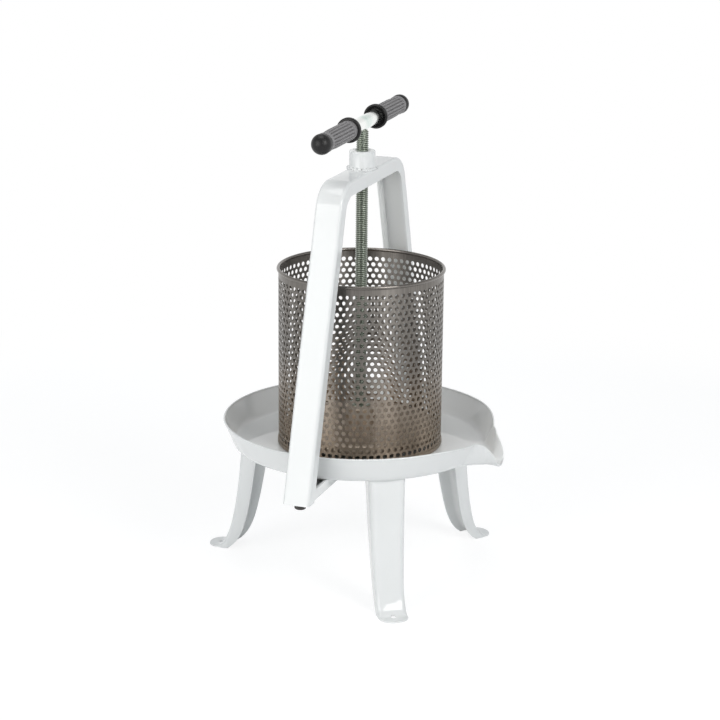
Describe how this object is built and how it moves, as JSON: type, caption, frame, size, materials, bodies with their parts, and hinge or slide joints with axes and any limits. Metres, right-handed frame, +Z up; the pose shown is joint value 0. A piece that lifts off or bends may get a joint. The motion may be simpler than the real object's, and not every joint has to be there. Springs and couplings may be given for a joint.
{
  "type": "screw fruit press",
  "caption": "Tabletop screw fruit press: perforated basket in a round juice pan with a spout, on channel legs, under a leaning arch that holds the screw and its crossbar handle.",
  "frame": {"origin": "on the ground, in the middle of the press's outline; the screw axis stands 11.5 mm from it along +X", "axes": "+Z up along the screw, +X towards the spout, +Y to the left of the spout along the arch"},
  "size_m": [0.407, 0.466, 0.6095],
  "materials": {
    "white_paint": "gloss",
    "basket_metal": "satin",
    "screw_metal": "satin",
    "platen_metal": "satin",
    "bar_paint": "gloss",
    "grip_grey": "matte",
    "grip_black": "satin",
    "bolt_metal": "satin"
  },
  "bodies": {
    "frame": {"pan": "white_paint", "leg_front_right": "white_paint", "leg_front_left": "white_paint", "leg_rear": "white_paint", "crossbar": "white_paint", "arch": "white_paint", "arch_lugs": "white_paint", "arch_bolts": "bolt_metal", "arch_washers": "bolt_metal", "screw_nut": "white_paint"},
    "basket": {"basket_wall": "basket_metal", "basket_rim": "basket_metal"},
    "platen": {"platen_plate": "platen_metal", "platen_socket": "platen_metal", "thrust_washer": "screw_metal"},
    "screw": {"screw": "screw_metal", "handle_bar": "bar_paint", "grip_sleeve_right": "grip_grey", "grip_sleeve_left": "grip_grey", "grip_flange_right": "grip_black", "grip_flange_left": "grip_black", "grip_cap_right": "grip_black", "grip_cap_left": "grip_black", "retaining_washer": "screw_metal", "retaining_ring": "bolt_metal"}
  },
  "joints": [
    {"name": "platen_slide", "type": "slide", "parent": "frame", "child": "platen", "axis": [0, 0, 1], "range_m": [-0.0116, 0.2881]},
    {"name": "screw_spin", "type": "hinge", "parent": "platen", "child": "screw", "pos_m": [0.0115, 0, 0.594], "axis": [0, 0, 1], "range_deg": [-1656, 41400]},
    {"name": "basket_lift", "type": "slide", "parent": "frame", "child": "basket", "axis": [0, 0, 1], "range_m": [0, 0.08]}
  ],
  "couplings": [
    {"joint": "platen_slide", "follows": "screw_spin", "m_per_rad": 0.00039789}
  ]
}
